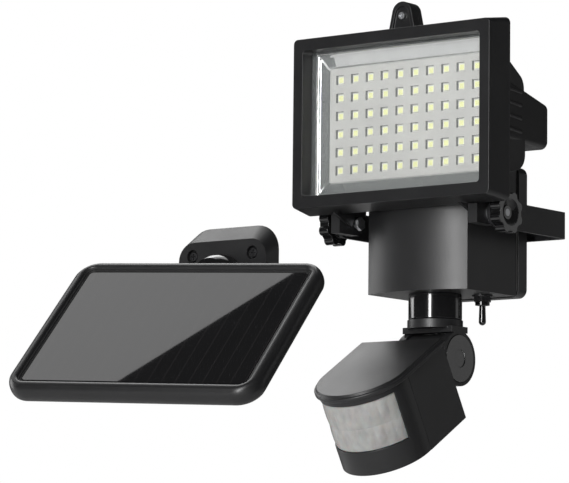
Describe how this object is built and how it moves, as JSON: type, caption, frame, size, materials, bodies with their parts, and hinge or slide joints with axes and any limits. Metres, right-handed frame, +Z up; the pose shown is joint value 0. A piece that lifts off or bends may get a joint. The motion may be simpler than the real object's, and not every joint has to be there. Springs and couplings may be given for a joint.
{
  "type": "solar flood light",
  "caption": "Wall flood light with tilting LED head on a U bracket, battery box, swivelling motion sensor and a separate ball-jointed solar panel.",
  "frame": {"origin": "middle of the U bracket's wall face, level with the lamp's tilt axis", "axes": "+Y into the wall, +Z up, +X along the wall, the lamp looks along -Y"},
  "size_m": [0.4569, 0.2122, 0.3782],
  "materials": {
    "black_plastic": "satin moulded black",
    "gloss_black": "glossy black",
    "painted_black": "black powder coat",
    "chrome": "vacuum metallised",
    "clear_glass": "clear",
    "pane_glass": "dark, polished",
    "mask_white": "pale satin",
    "board_white": "white solder mask",
    "led_yellow": "phosphor",
    "steel": "zinc plated",
    "brass": "turned",
    "rubber": "soft black",
    "board_green": "green solder mask",
    "cell_black": "amorphous cell",
    "lens_milky": "milky translucent",
    "dial_cream": "moulded",
    "battery_grey": "moulded case"
  },
  "bodies": {
    "mounts": {"bracket": "painted_black", "box_front": "black_plastic", "box_back": "black_plastic", "box_seal": "rubber", "box_screws": "steel", "battery": "battery_grey", "battery_shelf": "black_plastic", "charge_board": "board_green", "board_parts": "gloss_black", "box_gland": "black_plastic", "charge_socket": "gloss_black", "sensor_collar": "gloss_black", "collar_nut": "black_plastic", "switch_body": "gloss_black", "switch_nut": "painted_black", "panel_base": "black_plastic", "wall_plate": "painted_black", "base_screws": "painted_black", "socket_ring": "gloss_black"},
    "head": {"housing": "black_plastic", "bezel": "black_plastic", "glass_gasket": "rubber", "glass": "clear_glass", "reflector": "chrome", "led_mask": "mask_white", "led_board": "board_white", "leds": "led_yellow", "board_screws": "steel", "tab_screw": "steel", "pivot_bolts": "steel", "pivot_washers": "steel", "lamp_gland": "black_plastic"},
    "knob_left": {"knob_left": "gloss_black", "knob_nuts_left": "brass"},
    "knob_right": {"knob_right": "gloss_black", "knob_nuts_right": "brass"},
    "sensor_swivel": {"swivel_fork": "black_plastic", "hinge_cap": "gloss_black", "hinge_pin": "steel"},
    "sensor": {"sensor_rear": "black_plastic", "sensor_front": "gloss_black", "sensor_cover": "black_plastic", "sensor_lens": "lens_milky", "sensor_board": "board_green", "pyro_sensor": "steel", "sensor_screws": "steel"},
    "dial_time": {"dial_time": "dial_cream"},
    "dial_lux": {"dial_lux": "dial_cream"},
    "switch_lever": {"switch_lever": "gloss_black"},
    "panel_ball": {"pivot_ball": "gloss_black", "ball_pin": "steel"},
    "panel": {"panel_frame": "black_plastic", "panel_glass": "pane_glass", "solar_cell": "cell_black", "panel_back": "black_plastic", "panel_arm": "black_plastic", "arm_screws": "steel", "panel_gland": "black_plastic"}
  },
  "joints": [
    {"name": "head_tilt", "type": "hinge", "parent": "mounts", "child": "head", "pos_m": [0, -0.1, 0], "axis": [1, 0, 0], "range_deg": [-8, 40]},
    {"name": "knob_left_turn", "type": "hinge", "parent": "head", "child": "knob_left", "pos_m": [-0.08, -0.1, 0], "axis": [-1, 0, 0], "continuous": true},
    {"name": "knob_right_turn", "type": "hinge", "parent": "head", "child": "knob_right", "pos_m": [0.08, -0.1, 0], "axis": [1, 0, 0], "continuous": true},
    {"name": "sensor_swivel", "type": "hinge", "parent": "mounts", "child": "sensor_swivel", "pos_m": [0, -0.077, -0.08], "axis": [0, 0, 1], "range_deg": [-55, 55]},
    {"name": "sensor_tilt", "type": "hinge", "parent": "sensor_swivel", "child": "sensor", "pos_m": [0, -0.077, -0.11], "axis": [1, 0, 0], "range_deg": [-25, 25]},
    {"name": "dial_time_turn", "type": "hinge", "parent": "sensor", "child": "dial_time", "pos_m": [-0.012, -0.1123, -0.17212], "axis": [0, 0.509, -0.8607], "range_deg": [-135, 135]},
    {"name": "dial_lux_turn", "type": "hinge", "parent": "sensor", "child": "dial_lux", "pos_m": [0.012, -0.1123, -0.17212], "axis": [0, 0.509, -0.8607], "range_deg": [-135, 135]},
    {"name": "switch_throw", "type": "hinge", "parent": "mounts", "child": "switch_lever", "pos_m": [0.028, -0.0515, -0.064], "axis": [1, 0, 0], "range_deg": [-6, 6]},
    {"name": "panel_pan", "type": "hinge", "parent": "mounts", "child": "panel_ball", "pos_m": [-0.263, -0.024, -0.03], "axis": [0, 0, 1], "range_deg": [-30, 10]},
    {"name": "panel_tilt", "type": "hinge", "parent": "panel_ball", "child": "panel", "pos_m": [-0.263, -0.024, -0.03], "axis": [0.9798, 0.1964, -0.0385], "range_deg": [-30, 15]}
  ]
}
